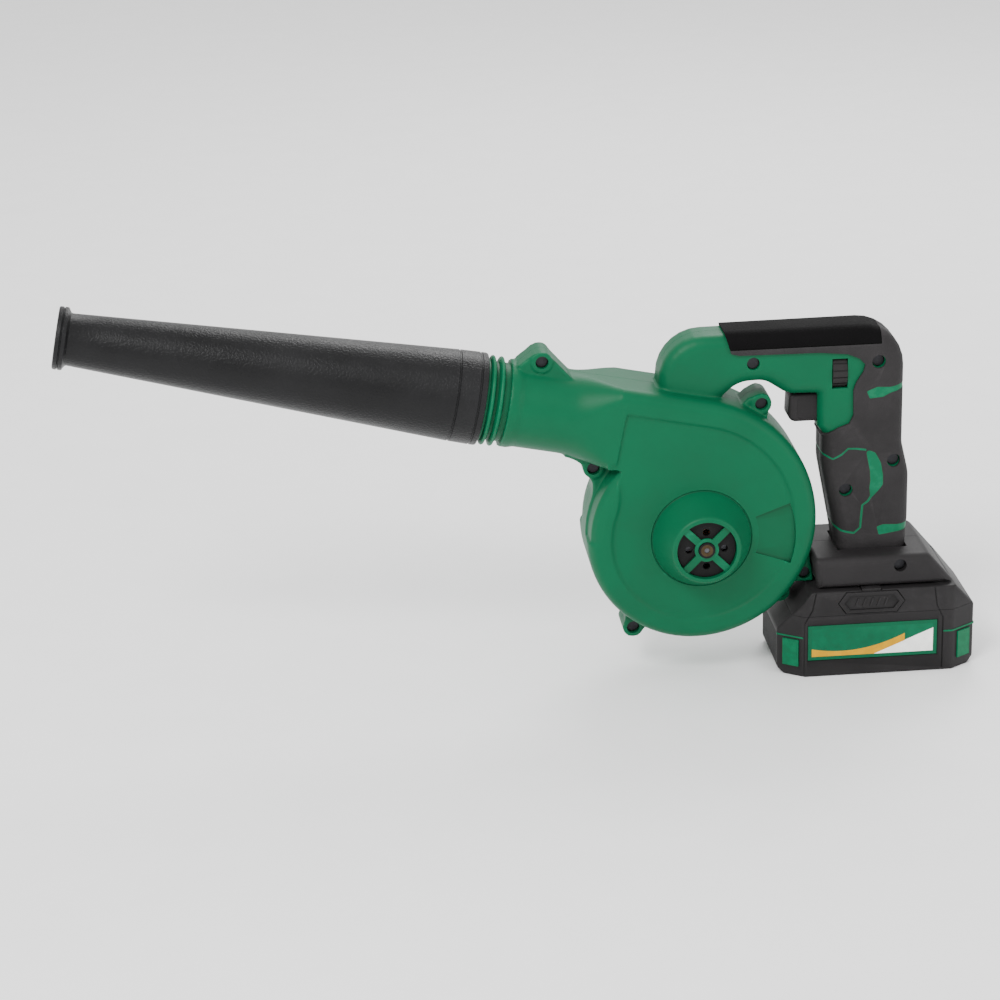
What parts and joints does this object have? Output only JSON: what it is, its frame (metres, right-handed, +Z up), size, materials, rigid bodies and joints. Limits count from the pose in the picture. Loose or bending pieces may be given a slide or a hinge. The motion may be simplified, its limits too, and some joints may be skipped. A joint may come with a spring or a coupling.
{
  "type": "cordless leaf blower",
  "caption": "Hand-held cordless leaf blower: scroll fan case with side motor collar, tapered push-on nozzle, trigger grip and slide-on battery it stands on.",
  "frame": {"origin": "middle of the battery's underside, which the blower stands on", "axes": "+X from the nozzle towards the grip and battery, +Y to the air-inlet side, +Z up"},
  "size_m": [0.5674, 0.0881, 0.2547],
  "materials": {
    "green_shell": "moulded, satin",
    "soft_grip": "fine grain",
    "hard_black": "moulded, fine texture",
    "nozzle_black": "moulded, fine texture",
    "battery_black": "moulded, fine texture",
    "battery_green": "satin",
    "label": "printed film",
    "dial_dark": "satin",
    "screw_steel": "dark zinc",
    "steel": "rolled",
    "magnet": "sintered",
    "copper": "enamelled wire",
    "brass": "stamped",
    "board": "lacquered",
    "insulator": "moulded",
    "wire_red": "insulation",
    "wire_black": "insulation",
    "cell": "shrink sleeve",
    "seal": "smooth"
  },
  "bodies": {
    "housing": {"left_housing": "green_shell", "right_housing": "green_shell", "left_grip_skin": "soft_grip", "right_grip_skin": "soft_grip", "top_pad": "soft_grip", "left_foot": "hard_black", "right_foot": "hard_black", "housing_screws": "screw_steel", "inlet_guard": "hard_black", "motor_mount": "insulator", "motor_can": "steel", "motor_magnets": "magnet", "motor_end_cap": "insulator", "motor_brushes": "magnet", "front_bearing": "brass", "rear_bearing": "brass", "motor_screws": "steel", "neck_seal": "seal", "trigger_spring": "steel", "trigger_switch": "insulator", "speed_pot": "insulator", "control_board": "board", "terminal_block": "insulator", "terminal_blades": "brass", "motor_wires": "wire_red", "battery_wires": "wire_black"},
    "fan": {"motor_shaft": "steel", "armature_stack": "steel", "armature_windings": "copper", "commutator": "copper", "fan_wheel": "insulator", "wheel_insert": "brass"},
    "nozzle": {"nozzle": "nozzle_black"},
    "trigger": {"trigger": "hard_black"},
    "dial": {"speed_dial": "dial_dark"},
    "battery": {"battery_lower_case": "battery_black", "battery_upper_case": "battery_black", "battery_cells": "cell", "cell_straps": "steel", "battery_board": "board", "battery_contacts": "brass", "battery_labels": "label", "battery_inlays": "battery_green", "battery_screws": "screw_steel", "left_button_spring": "steel", "right_button_spring": "steel"},
    "left_button": {"left_button": "battery_black"},
    "right_button": {"right_button": "battery_black"}
  },
  "joints": [
    {"name": "fan_spin", "type": "hinge", "parent": "housing", "child": "fan", "pos_m": [-0.111, 0, 0.094], "axis": [0, 1, 0], "continuous": true},
    {"name": "nozzle_pull", "type": "slide", "parent": "housing", "child": "nozzle", "axis": [-0.9796, 0, 0.2011], "range_m": [0, 0.06]},
    {"name": "trigger_pull", "type": "slide", "parent": "housing", "child": "trigger", "axis": [1, 0, 0], "range_m": [0, 0.006], "stiffness_N_per_m": 800, "springref_m": -0.003, "deforming": ["trigger_spring"]},
    {"name": "dial_turn", "type": "hinge", "parent": "housing", "child": "dial", "pos_m": [-0.023, -0.0046, 0.193], "axis": [1, 0, 0], "range_deg": [0, 270]},
    {"name": "battery_slide", "type": "slide", "parent": "housing", "child": "battery", "axis": [1, 0, 0], "range_m": [0, 0.13]},
    {"name": "left_button_press", "type": "slide", "parent": "battery", "child": "left_button", "axis": [0, 1, 0], "range_m": [0, 0.0025], "stiffness_N_per_m": 1500, "springref_m": -0.001, "deforming": ["left_button_spring"]},
    {"name": "right_button_press", "type": "slide", "parent": "battery", "child": "right_button", "axis": [0, -1, 0], "range_m": [0, 0.0025], "stiffness_N_per_m": 1500, "springref_m": -0.001, "deforming": ["right_button_spring"]}
  ]
}
